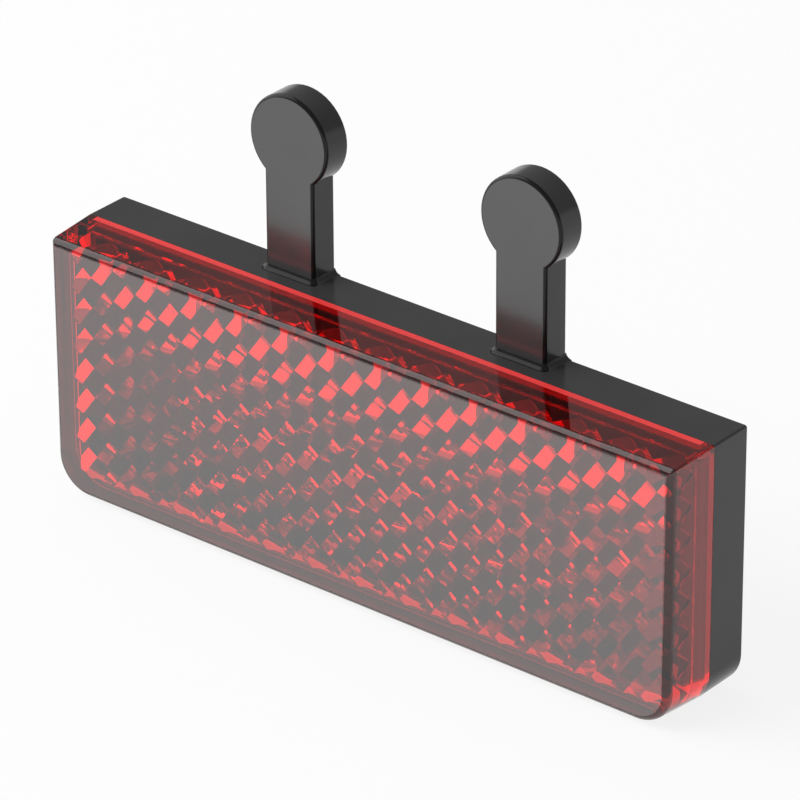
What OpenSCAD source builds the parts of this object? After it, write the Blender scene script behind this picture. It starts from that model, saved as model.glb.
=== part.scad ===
// Bicycle rear reflector: a red prismatic lens moulding on a black tray that carries two keyhole tabs.
// X runs along the reflector, the lens looks towards -Y, and the flat lower side lies on Z = 0.

/* [Body] */
// Length at the joint between lens and housing
body_l = 100; // [80:0.5:120]
// Height at the joint between lens and housing
body_h = 36.8; // [32:0.2:46]
// Depth of the lens, from its front face to the joint
lens_d = 8; // [7.8:0.1:12]
// Depth of the housing, from the joint to its back
housing_d = 6.8; // [5:0.1:12]
// Radius of the two lower corners, seen from the front
lower_r = 5; // [3.5:0.1:9]
// Radius of the two upper corners, seen from the front
upper_r = 0.4; // [0.2:0.1:1]
// Radius round the front edge of the lens
front_r = 1; // [0.4:0.1:1.4]
// Radius round the back edge of the housing
back_r = 0.4; // [0.2:0.1:1]

/* [Lens] */
// Thickness of the lens's side walls
lens_wall = 1.6; // [1.2:0.1:2]
// Thickness of the front wall at the bottom of the prisms
front_wall = 2.15; // [1.6:0.05:2.6]
// Draft of the lens's four sides, in degrees
lens_draft = 3; // [0:0.1:4]

/* [Prisms] */
// Distance across the flats of one corner cube
prism_pitch = 4.35; // [3:0.05:4.6]
// Solid border left round the prisms, measured from the lens's outside
prism_margin = 2.2; // [2:0.1:3]
// Shift of the prism field along X
prism_shift_x = -1.75; // [-3:0.05:3]
// Shift of the prism field along Z
prism_shift_z = 0.2; // [-3:0.05:3]

/* [Housing] */
// Thickness of the housing's floor
floor_t = 1.8; // [1.2:0.1:3]
// Thickness of the locating lip that stands inside the lens
lip_t = 1.2; // [0.8:0.1:2]
// Clearance between the lip and the lens, at its wall and at the border that the lip stops short of
lip_gap = 0.15; // [0.05:0.05:0.4]
// Clearance left at the welded joint
weld_gap = 0.05; // [0.02:0.01:0.2]

/* [Tabs] */
// Distance between the centres of the two tabs
tab_spacing = 36.8; // [20:0.2:60]
// Width of a tab's stem
tab_w = 7.9; // [5:0.1:10]
// Thickness of a tab, measured from the back face
tab_t = 4.2; // [3:0.1:4.8]
// Radius of a tab's round head
head_r = 6.3; // [5.5:0.1:8]
// Height of the head's centre above the housing
head_rise = 18.6; // [14:0.1:30]
// Radius round the front edge of a tab
tab_front_r = 0.5; // [0.2:0.1:1]
// Radius round the back edge of a tab
tab_back_r = 0.3; // [0.2:0.1:1]
// Radius of the fillet at the foot of a tab
foot_r = 0.9; // [0.4:0.1:1.2]

/* [Hidden] */
// Steps in the lower corners, in the upper corners and in the small edge rounds
lower_steps = 10;
upper_steps = 3;
edge_steps = 6;
// Steps round a tab's head
head_steps = 40;
// How far a cutting shape runs past the face it cuts
past = 1;
// Smallest corner radius that a moulding tool leaves
tool_r = 0.05;
body_d = lens_d + housing_d;
// The tabs lie this far in front of the back face, and their foot as far in front of theirs
flush = 0.02;
// Depth of a tab's front face
tab_y = body_d - flush - tab_t;
// Corner cubes: distance between lattice points, height of one lattice step, distance between rows
lattice = prism_pitch / sqrt(3);
step_h = prism_pitch / sqrt(6);
row_h = prism_pitch / 2;
// Depth of the prisms' points, and of the border's back face just behind them
apex_d = front_wall + 2 * step_h;
border_d = apex_d + tool_r;
// Rows and columns of lattice points that cover the inside of the lens
row_n = ceil(body_h / row_h / 2) + 2;
col_n = ceil(body_l / lattice / 2) + 2;

// Points of an arc about c, from angle a0 to a1
function arc(c, r, a0, a1, n) =
    [for (i = [0:n]) let (a = a0 + (a1 - a0) * i / n) c + r * [cos(a), sin(a)]];

// Outline seen from the front: half length, half height, lower and upper corner radius
function outline(hl, hh, rl, ru) = concat(
    arc([hl - ru, hh - ru], ru, 0, 90, upper_steps),
    arc([ru - hl, hh - ru], ru, 90, 180, upper_steps),
    arc([rl - hl, rl - hh], rl, 180, 270, lower_steps),
    arc([hl - rl, rl - hh], rl, 270, 360, lower_steps));

// The drafted body's outline at depth y, moved inwards by inset
function body_ring(y, inset) = let (
    taper = max(lens_d - y, 0) * tan(lens_draft),
    hl = body_l / 2 - taper - inset,
    hh = body_h / 2 - taper - inset)
    [for (p = outline(hl, hh, max(lower_r - inset, tool_r), max(upper_r - inset, tool_r))) [-p.x, y, p.y]];

// Rings of a quarter round of radius r that ends at depth y, with side +1 at a front edge, -1 at a back edge
function edge_rings(y, r, side) =
    [for (i = [0:edge_steps]) let (a = 90 * (side > 0 ? i : edge_steps - i) / edge_steps)
        body_ring(y + side * r * (1 - cos(a)), r * (1 - sin(a)))];

// One flat section of a convex body, for a hull to span
module section(ring) {
    polyhedron(points = ring, faces = [[for (i = [0:len(ring) - 1]) i]]);
}

// Body through a list of rings, hulled from each section to the next
module stack(rings) {
    for (k = [1:len(rings) - 1]) hull() {
        section(rings[k - 1]);
        section(rings[k]);
    }
}

// Solid through a list of rings with as many points each, which may be hollow in outline
module skin(rings) {
    n = len(rings[0]);
    last = len(rings) - 1;
    polyhedron(
        points = [for (ring = rings) each ring],
        faces = concat(
            [[for (i = [0:n - 1]) i]],
            [[for (i = [n - 1:-1:0]) last * n + i]],
            [for (k = [0:last - 1], i = [0:n - 1]) let (j = (i + 1) % n)
                [k * n + j, k * n + i, k * n + n + i, k * n + n + j]]));
}

// Space behind the corner cubes: a triangular lattice whose points step through three depths
module prism_space() {
    cols = 2 * col_n + 1;
    rows = 2 * row_n + 1;
    back = lens_d + past;
    function lattice_point(i, j) = let (
        r = j - row_n,
        half = floor(r / 2),
        level = (3 * cols + half + r - i) % 3)
        [prism_shift_x + (i - col_n + r / 2 - half) * lattice,
         front_wall + level * step_h,
         prism_shift_z + r * row_h];
    front = [for (j = [0:rows - 1], i = [0:cols - 1]) lattice_point(i, j)];
    rim = concat(
        [for (i = [0:cols - 2]) i],
        [for (j = [0:rows - 2]) j * cols + cols - 1],
        [for (i = [cols - 1:-1:1]) (rows - 1) * cols + i],
        [for (j = [rows - 1:-1:1]) j * cols]);
    n = len(rim);
    total = len(front);
    polyhedron(
        points = concat(front, [for (k = rim) [front[k].x, back, front[k].z]]),
        faces = concat(
            [for (j = [0:rows - 2], i = [0:cols - 2]) let (
                a = j * cols + i, b = a + 1, c = a + cols, d = c + 1)
                each ((j - row_n) % 2 == 0 ? [[a, c, b], [b, c, d]] : [[a, d, b], [a, c, d]])],
            [for (k = [0:n - 1]) let (m = (k + 1) % n) [rim[k], rim[m], total + m, total + k]],
            [[for (k = [0:n - 1]) total + k]]));
}

// Places a shape drawn by depth and height from the body's centre line
module placed() {
    translate([0, -body_d / 2, body_h / 2]) children();
}

module lens() {
    color([0.75, 0.05, 0.07, 0.6])
    placed() difference() {
        stack(concat(edge_rings(0, front_r, 1), [body_ring(lens_d, 0)]));
        stack([for (y = [border_d, lens_d, lens_d + past]) body_ring(y, lens_wall)]);
        intersection() {
            stack([for (y = [0, border_d + tool_r]) body_ring(y, prism_margin)]);
            prism_space();
        }
    }
}

// Keyhole outline at depth y, moved inwards by inset: a round head on a stem that runs down into the housing
function keyhole_ring(y, inset) = let (
    r = head_r - inset,
    w = tab_w / 2 - inset,
    neck = asin(w / r) - 90,
    top = body_h / 2)
    [for (p = concat(
        arc([0, head_rise], r, neck, 180 - neck, head_steps),
        [[-w, -foot_r], [w, -foot_r]])) [-p.x, y, top + p.y]];

// Rounded rectangle round the stem's foot, grown by g at its front and sides
function foot_ring(z, g) = let (
    w = tab_w / 2 + g,
    r = tab_front_r + g,
    y0 = tab_y - g,
    y1 = tab_y + tab_t - flush)
    [for (p = concat(
        [[w, y1], [-w, y1]],
        arc([r - w, y0 + r], r, 180, 270, edge_steps),
        arc([w - r, y0 + r], r, 270, 360, edge_steps))) [p.x, p.y, z]];

// One keyhole tab: a plate with rounded edges on a flared foot
module tab() {
    top = body_h / 2;
    skin(concat(
        [for (i = [0:edge_steps]) let (a = 90 * i / edge_steps)
            keyhole_ring(tab_y + tab_front_r * (1 - cos(a)), tab_front_r * (1 - sin(a)))],
        [for (i = [edge_steps:-1:0]) let (a = 90 * i / edge_steps)
            keyhole_ring(tab_y + tab_t - tab_back_r * (1 - cos(a)), tab_back_r * (1 - sin(a)))]));
    stack(concat(
        [foot_ring(top - foot_r, foot_r)],
        [for (i = [0:edge_steps - 1]) let (a = 90 * i / edge_steps)
            foot_ring(top + foot_r * (1 - cos(a)), foot_r * (1 - sin(a)))]));
}

module housing() {
    inner = lens_wall + lip_gap + lip_t;
    lip_y = border_d + lip_gap;
    color([0.12, 0.12, 0.13])
    placed() {
        difference() {
            union() {
                stack(concat([body_ring(lens_d + weld_gap, 0)], edge_rings(body_d, back_r, -1)));
                stack([for (y = [lip_y, lens_d, body_d - floor_t]) body_ring(y, lens_wall + lip_gap)]);
            }
            stack([for (y = [lip_y - past, lens_d, body_d - floor_t]) body_ring(y, inner)]);
        }
        for (side = [-1, 1]) translate([side * tab_spacing / 2, 0, 0]) tab();
    }
}

lens();
housing();
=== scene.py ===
"""Bicycle rear reflector: a clear red prismatic lens on a black tray with two keyhole tabs."""
from math import cos, radians, sin

import bpy
from mathutils import Matrix, Vector


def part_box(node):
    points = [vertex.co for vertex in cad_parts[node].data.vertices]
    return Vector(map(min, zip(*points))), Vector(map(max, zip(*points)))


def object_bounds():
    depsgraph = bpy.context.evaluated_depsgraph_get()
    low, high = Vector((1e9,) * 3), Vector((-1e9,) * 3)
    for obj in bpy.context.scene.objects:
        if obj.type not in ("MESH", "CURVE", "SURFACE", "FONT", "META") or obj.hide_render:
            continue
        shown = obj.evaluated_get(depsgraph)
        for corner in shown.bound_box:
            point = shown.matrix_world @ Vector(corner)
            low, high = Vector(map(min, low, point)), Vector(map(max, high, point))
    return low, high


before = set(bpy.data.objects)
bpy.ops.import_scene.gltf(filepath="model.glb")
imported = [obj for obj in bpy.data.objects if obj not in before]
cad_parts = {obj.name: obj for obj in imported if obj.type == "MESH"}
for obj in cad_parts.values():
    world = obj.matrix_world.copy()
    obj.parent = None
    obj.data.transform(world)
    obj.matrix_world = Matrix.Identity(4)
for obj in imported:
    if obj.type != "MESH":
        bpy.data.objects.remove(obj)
CAD_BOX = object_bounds()

# Camera: where it looks, from which side and how far away, and how long its lens is
AIM = Vector((0.0019, 0.0002, 0.0271))
CAMERA_AZIMUTH = radians(39.4)
CAMERA_ELEVATION = radians(28.05)
CAMERA_ROLL = radians(-0.314)
CAMERA_DISTANCE = 0.7334
FOCAL_PIXELS = 5900
PHOTO_PIXELS = 800
SENSOR_MM = 36

# Floor: its gap keeps it just clear of the object's lower side
WHITE = (1, 1, 1, 1)
FLOOR_SIZE = 6.0
FLOOR_GAP = 0.0002
FLOOR_COLOUR = (0.9, 0.9, 0.9, 1)
FLOOR_GLOW = 1.0
FLOOR_GLOW_SHARE = 0.85

# World: walls that are white up to a low height, and a dimmer ceiling. Heights are the Z of a direction.
WALL_LIGHT = 1.0
CEILING_LIGHT = 0.3
WALL_TOP = 0.08
CEILING_START = 0.22

# Lamps: place and size in metres, power in watts
SOFTBOX_PLACE = (-1.13, -0.26, 0.87)
SOFTBOX_SIZE = 1.7
SOFTBOX_POWER = 15.0
KEY_PLACE = (-0.6, -0.9, 1.1)
KEY_SIZE = 0.9
KEY_POWER = 14.0

# How far a normal leans along an axis: on flat faces, on faces with the full coat, on rounds, on upper faces
FLAT = 0.97
FULLY_FLAT = 0.995
ROUND = 0.1
UPPER = 0.9

# Noise: the middle of its values, which is spread over a range, and its scales
NOISE_LOW = 0.35
NOISE_HIGH = 0.65
CLOUDS_PER_METRE = 90.0
GRAIN_PER_METRE = 2500.0

# Red acrylic
ACRYLIC_IOR = 1.49
ACRYLIC_ROUGHNESS = (0.0, 0.012)
HARD_COAT_IOR = 2.1
FRONT_COAT = 1.0
SIDE_COAT = 0.2
RED_TINT = (1.0, 0.015, 0.02, 1)
RED_DENSITY = 1500.0
FLOW_DETAIL = 2.0
FLOW_DEPTH = 0.00002
FLOW_STRENGTH = 0.2
# Painted shade: colour of the round along the lens's front edge, darkened to stand in for the dark
# surroundings reflected there, and how far back from the front that round reaches
EDGE_PAINTED_SHADE = (0.1, 0.1, 0.1, 1)
EDGE_DEPTH = 0.00105

# Weld line: colour, width of the strip, and how far from each corner it ends
WELD_RED = (0.8, 0.045, 0.045, 1)
WELD_ROUGHNESS = 0.3
WELD_WIDTH = 0.0009
WELD_END = 0.0015

# Black plastic
PLASTIC_DARK = (0.036, 0.036, 0.037, 1)
PLASTIC_LIGHT = (0.042, 0.042, 0.042, 1)
# Painted shade: colour of the rounded edges, darkened to stand in for the dark surroundings they reflect
PLASTIC_PAINTED_EDGE_SHADE = (0.006, 0.006, 0.006, 1)
PLASTIC_ROUGHNESS = (0.16, 0.22)
PLASTIC_GLOSS = 0.28
PLASTIC_POLISH = 0.48
POLISH_ROUGHNESS = 0.22
CLOUD_DETAIL = 4.0
GRAIN_DETAIL = 3.0
GRAIN_DEPTH = 0.00001
GRAIN_STRENGTH = 0.04

# Shading of the meshes: points closer than this are one, and edges that bend more than this stay sharp
MERGE_DISTANCE = 2e-6
SHARP_ANGLE = radians(24)
FLAT_FACE_WEIGHT = 100

# Light paths: the prisms pass light on many times
CLEAR_BOUNCES = 32
GLOSSY_BOUNCES = 12


def make_camera():
    """Camera at the photograph's place, given by azimuth, elevation and roll about the aim point."""
    a, e = CAMERA_AZIMUTH, CAMERA_ELEVATION
    forward = Vector((-sin(a) * cos(e), cos(a) * cos(e), -sin(e)))
    right = Vector((cos(a), sin(a), 0))
    up = right.cross(forward)
    turn = Matrix.Rotation(CAMERA_ROLL, 3, -forward)
    right, up = turn @ right, turn @ up
    data = bpy.data.cameras.new("camera")
    data.sensor_width = SENSOR_MM
    data.lens = FOCAL_PIXELS / PHOTO_PIXELS * SENSOR_MM
    camera = bpy.data.objects.new("camera", data)
    axes = Matrix((right, up, -forward)).transposed().to_4x4()
    camera.matrix_world = Matrix.Translation(AIM - forward * CAMERA_DISTANCE) @ axes
    bpy.context.scene.collection.objects.link(camera)
    bpy.context.scene.camera = camera


def node_tree(material):
    """The cleared node tree of a new material, with its output node."""
    material.use_nodes = True
    tree = material.node_tree
    tree.nodes.clear()
    return tree, tree.nodes.new("ShaderNodeOutputMaterial")


def feed(tree, value, socket):
    """Links another socket to this one, or sets this one to a number or colour."""
    if isinstance(value, bpy.types.NodeSocket):
        tree.links.new(value, socket)
    else:
        socket.default_value = value


def calculate(tree, operation, *values):
    """Result of a Math node on sockets or numbers."""
    node = tree.nodes.new("ShaderNodeMath")
    node.operation = operation
    for value, socket in zip(values, node.inputs):
        feed(tree, value, socket)
    return node.outputs[0]


def all_of(tree, *tests):
    """1 where every test is 1, and 0 elsewhere."""
    result = tests[0]
    for test in tests[1:]:
        result = calculate(tree, "MULTIPLY", result, test)
    return result


def parts_of(tree, output):
    """The X, Y and Z of a texture coordinate: Object, Normal or Generated."""
    place = tree.nodes.new("ShaderNodeTexCoord")
    parts = tree.nodes.new("ShaderNodeSeparateXYZ")
    tree.links.new(place.outputs[output], parts.inputs[0])
    return parts.outputs


def fit_range(tree, value, old, new, shape="LINEAR"):
    """Maps a value from its old range to a new one, and holds it at both ends."""
    fit = tree.nodes.new("ShaderNodeMapRange")
    fit.interpolation_type = shape
    fit.inputs["From Min"].default_value, fit.inputs["From Max"].default_value = old
    fit.inputs["To Min"].default_value, fit.inputs["To Max"].default_value = new
    tree.links.new(value, fit.inputs["Value"])
    return fit.outputs["Result"]


def mix_colours(tree, factor, first, second):
    """The first colour where the factor is 0, and the second where it is 1."""
    mix = tree.nodes.new("ShaderNodeMix")
    mix.data_type = "RGBA"
    tree.links.new(factor, mix.inputs["Factor"])
    feed(tree, first, mix.inputs["A"])
    feed(tree, second, mix.inputs["B"])
    return mix.outputs["Result"]


def mix_shaders(tree, factor, first, second):
    """The first shader where the factor is 0, and the second where it is 1."""
    mix = tree.nodes.new("ShaderNodeMixShader")
    for value, socket in zip((factor, first, second), mix.inputs):
        tree.links.new(value, socket)
    return mix.outputs[0]


def noise(tree, scale, detail):
    """Noise texture in the object's own coordinates, with so many grains to the metre."""
    place = tree.nodes.new("ShaderNodeTexCoord")
    texture = tree.nodes.new("ShaderNodeTexNoise")
    texture.inputs["Scale"].default_value = scale
    texture.inputs["Detail"].default_value = detail
    tree.links.new(place.outputs["Object"], texture.inputs["Vector"])
    return texture.outputs["Fac"]


def spread(tree, value, new):
    """Maps the middle of a noise to a range."""
    return fit_range(tree, value, (NOISE_LOW, NOISE_HIGH), new)


def bump(tree, value, depth, strength):
    """Normal that follows a relief of so many metres."""
    relief = tree.nodes.new("ShaderNodeBump")
    relief.inputs["Distance"].default_value = depth
    relief.inputs["Strength"].default_value = strength
    tree.links.new(value, relief.inputs["Height"])
    return relief.outputs["Normal"]


def facing_front(tree, elsewhere, front):
    """One number on the flat faces that look towards -Y, and another elsewhere."""
    return fit_range(tree, parts_of(tree, "Normal")["Y"], (-FLAT, -FULLY_FLAT), (elsewhere, front))


def front_edge_painted_shade(tree):
    """Mask of the painted shade on the lens: 1 on the round along the lens's front edge, and 0 on its flat
    front and behind the round.
    """
    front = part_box("lens")[0][1]
    return all_of(
        tree,
        calculate(tree, "LESS_THAN", parts_of(tree, "Object")["Y"], front + EDGE_DEPTH),
        calculate(tree, "GREATER_THAN", parts_of(tree, "Normal")["Y"], -FLAT))


def painted_shade_rounds(tree):
    """Mask of the painted edge shade on the black plastic: 1 on rounds along front and back edges, and 0 on
    flat faces and on the sides.
    """
    lean = calculate(tree, "ABSOLUTE", parts_of(tree, "Normal")["Y"])
    return all_of(
        tree,
        calculate(tree, "GREATER_THAN", lean, ROUND),
        calculate(tree, "LESS_THAN", lean, FLAT))


def weld_line(tree):
    """1 on the strip of the lens's upper face where the weld shows as a red line, short of both corners."""
    low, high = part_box("lens")
    place = parts_of(tree, "Object")
    return all_of(
        tree,
        calculate(tree, "GREATER_THAN", parts_of(tree, "Normal")["Z"], UPPER),
        calculate(tree, "GREATER_THAN", place["Y"], high[1] - WELD_WIDTH),
        calculate(tree, "GREATER_THAN", place["X"], low[0] + WELD_END),
        calculate(tree, "LESS_THAN", place["X"], high[0] - WELD_END))


def seen_rays(tree):
    """1 for camera, glossy and transmission rays, and 0 for the others."""
    path = tree.nodes.new("ShaderNodeLightPath")
    seen = calculate(tree, "MAXIMUM", path.outputs["Is Camera Ray"], path.outputs["Is Glossy Ray"])
    return calculate(tree, "MAXIMUM", seen, path.outputs["Is Transmission Ray"])


def make_world():
    """Plain light from white walls and a dimmer ceiling."""
    world = bpy.data.worlds.new("world")
    bpy.context.scene.world = world
    world.use_nodes = True
    tree = world.node_tree
    tree.nodes.clear()
    out = tree.nodes.new("ShaderNodeOutputWorld")
    light = tree.nodes.new("ShaderNodeBackground")
    light.inputs["Color"].default_value = WHITE
    strength = fit_range(tree, parts_of(tree, "Generated")["Z"], (WALL_TOP, CEILING_START),
                         (WALL_LIGHT, CEILING_LIGHT), "SMOOTHSTEP")
    tree.links.new(strength, light.inputs["Strength"])
    tree.links.new(light.outputs[0], out.inputs[0])


def make_floor():
    """A wide pale floor under the object, which shows white and keeps the object's shadow."""
    half = FLOOR_SIZE / 2
    corners = [(-half, -half, 0), (half, -half, 0), (half, half, 0), (-half, half, 0)]
    mesh = bpy.data.meshes.new("floor")
    mesh.from_pydata(corners, [], [(0, 1, 2, 3)])
    floor = bpy.data.objects.new("floor", mesh)
    floor.location.z = CAD_BOX[0].z - FLOOR_GAP
    bpy.context.scene.collection.objects.link(floor)
    material = bpy.data.materials.new("floor")
    tree, out = node_tree(material)
    pale = tree.nodes.new("ShaderNodeBsdfDiffuse")
    pale.inputs["Color"].default_value = FLOOR_COLOUR
    glow = tree.nodes.new("ShaderNodeEmission")
    glow.inputs["Strength"].default_value = FLOOR_GLOW
    share = calculate(tree, "MULTIPLY", seen_rays(tree), FLOOR_GLOW_SHARE)
    tree.links.new(mix_shaders(tree, share, pale.outputs[0], glow.outputs[0]), out.inputs["Surface"])
    mesh.materials.append(material)


def area_light(name, place, size, power, mirrored):
    """Soft square lamp aimed at the object, which shows in gloss and glass only if mirrored is true."""
    data = bpy.data.lights.new(name, "AREA")
    data.size = size
    data.energy = power
    lamp = bpy.data.objects.new(name, data)
    lamp.location = place
    lamp.rotation_euler = (AIM - Vector(place)).to_track_quat("-Z", "Y").to_euler()
    lamp.visible_camera = False
    lamp.visible_glossy = mirrored
    lamp.visible_transmission = mirrored
    bpy.context.scene.collection.objects.link(lamp)


def red_acrylic():
    """Clear acrylic that soaks up all but red, polished, with faint flow marks from the mould, and painted
    shade on the round along its front edge.
    """
    material = bpy.data.materials.new("lens_red")
    tree, out = node_tree(material)
    shader = tree.nodes.new("ShaderNodeBsdfPrincipled")
    shader.inputs["IOR"].default_value = ACRYLIC_IOR
    shader.inputs["Transmission Weight"].default_value = 1.0
    shader.inputs["Coat IOR"].default_value = HARD_COAT_IOR
    flow = noise(tree, CLOUDS_PER_METRE, FLOW_DETAIL)
    for value, name in (
            # Painted shade: the base colour is darkened on the round along the front edge
            (mix_colours(tree, front_edge_painted_shade(tree), WHITE, EDGE_PAINTED_SHADE), "Base Color"),
            (facing_front(tree, SIDE_COAT, FRONT_COAT), "Coat Weight"),
            (spread(tree, flow, ACRYLIC_ROUGHNESS), "Roughness"),
            (bump(tree, flow, FLOW_DEPTH, FLOW_STRENGTH), "Coat Normal")):
        tree.links.new(value, shader.inputs[name])
    weld = tree.nodes.new("ShaderNodeBsdfPrincipled")
    weld.inputs["Base Color"].default_value = WELD_RED
    weld.inputs["Roughness"].default_value = WELD_ROUGHNESS
    surface = mix_shaders(tree, weld_line(tree), shader.outputs[0], weld.outputs[0])
    tree.links.new(surface, out.inputs["Surface"])
    soak = tree.nodes.new("ShaderNodeVolumeAbsorption")
    soak.inputs["Color"].default_value = RED_TINT
    soak.inputs["Density"].default_value = RED_DENSITY
    tree.links.new(soak.outputs[0], out.inputs["Volume"])
    return material


def black_plastic():
    """Satin black moulded plastic: fine grain, clouds of slightly lighter colour, and painted shade that
    darkens its rounded edges.
    """
    material = bpy.data.materials.new("housing_black")
    tree, out = node_tree(material)
    shader = tree.nodes.new("ShaderNodeBsdfPrincipled")
    shader.inputs["Specular IOR Level"].default_value = PLASTIC_GLOSS
    shader.inputs["Coat IOR"].default_value = HARD_COAT_IOR
    shader.inputs["Coat Roughness"].default_value = POLISH_ROUGHNESS
    clouds = spread(tree, noise(tree, CLOUDS_PER_METRE, CLOUD_DETAIL), (0.0, 1.0))
    grain = noise(tree, GRAIN_PER_METRE, GRAIN_DETAIL)
    colour = mix_colours(tree, clouds, PLASTIC_DARK, PLASTIC_LIGHT)
    for value, name in (
            # Painted shade: the base colour is darkened on the rounded front and back edges
            (mix_colours(tree, painted_shade_rounds(tree), colour, PLASTIC_PAINTED_EDGE_SHADE), "Base Color"),
            (facing_front(tree, 0.0, PLASTIC_POLISH), "Coat Weight"),
            (spread(tree, grain, PLASTIC_ROUGHNESS), "Roughness"),
            (bump(tree, grain, GRAIN_DEPTH, GRAIN_STRENGTH), "Normal")):
        tree.links.new(value, shader.inputs[name])
    tree.links.new(shader.outputs[0], out.inputs["Surface"])
    return material


def smooth_rounds(node):
    """Shades a CAD node's rounds smooth and its flat faces flat. Its shape stays as it is."""
    group = bpy.data.node_groups.new("round_edges", "GeometryNodeTree")
    group.interface.new_socket("Geometry", in_out="INPUT", socket_type="NodeSocketGeometry")
    group.interface.new_socket("Geometry", in_out="OUTPUT", socket_type="NodeSocketGeometry")
    start = group.nodes.new("NodeGroupInput")
    end = group.nodes.new("NodeGroupOutput")
    strip = group.nodes.new("GeometryNodeRemoveAttribute")
    strip.inputs["Name"].default_value = "custom_normal"
    merge = group.nodes.new("GeometryNodeMergeByDistance")
    merge.inputs["Distance"].default_value = MERGE_DISTANCE
    faces = group.nodes.new("GeometryNodeSetShadeSmooth")
    edges = group.nodes.new("GeometryNodeSetShadeSmooth")
    edges.domain = "EDGE"
    edges.inputs["Shade Smooth"].default_value = False
    bend = group.nodes.new("GeometryNodeInputMeshEdgeAngle")
    sharp = group.nodes.new("FunctionNodeCompare")
    sharp.operation = "GREATER_THAN"
    sharp.inputs[1].default_value = SHARP_ANGLE
    for output, socket in (
            (start.outputs[0], strip.inputs[0]),
            (strip.outputs[0], merge.inputs[0]),
            (merge.outputs[0], faces.inputs[0]),
            (faces.outputs[0], edges.inputs[0]),
            (bend.outputs["Unsigned Angle"], sharp.inputs[0]),
            (sharp.outputs[0], edges.inputs["Selection"]),
            (edges.outputs[0], end.inputs[0])):
        group.links.new(output, socket)
    rounds = node.modifiers.new("round_edges", "NODES")
    rounds.node_group = group
    flats = node.modifiers.new("flat_faces", "WEIGHTED_NORMAL")
    flats.mode = "FACE_AREA"
    flats.weight = FLAT_FACE_WEIGHT
    flats.keep_sharp = True


def dress(name, material):
    """Gives a CAD node its material and its smooth rounds."""
    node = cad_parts[name]
    node.data.materials.clear()
    node.data.materials.append(material)
    smooth_rounds(node)


make_camera()
make_world()
make_floor()
area_light("softbox", SOFTBOX_PLACE, SOFTBOX_SIZE, SOFTBOX_POWER, mirrored=True)
area_light("key", KEY_PLACE, KEY_SIZE, KEY_POWER, mirrored=False)
dress("lens", red_acrylic())
dress("housing", black_plastic())

scene = bpy.context.scene
scene.view_settings.view_transform = "Standard"
scene.cycles.max_bounces = CLEAR_BOUNCES
scene.cycles.transmission_bounces = CLEAR_BOUNCES
scene.cycles.glossy_bounces = GLOSSY_BOUNCES
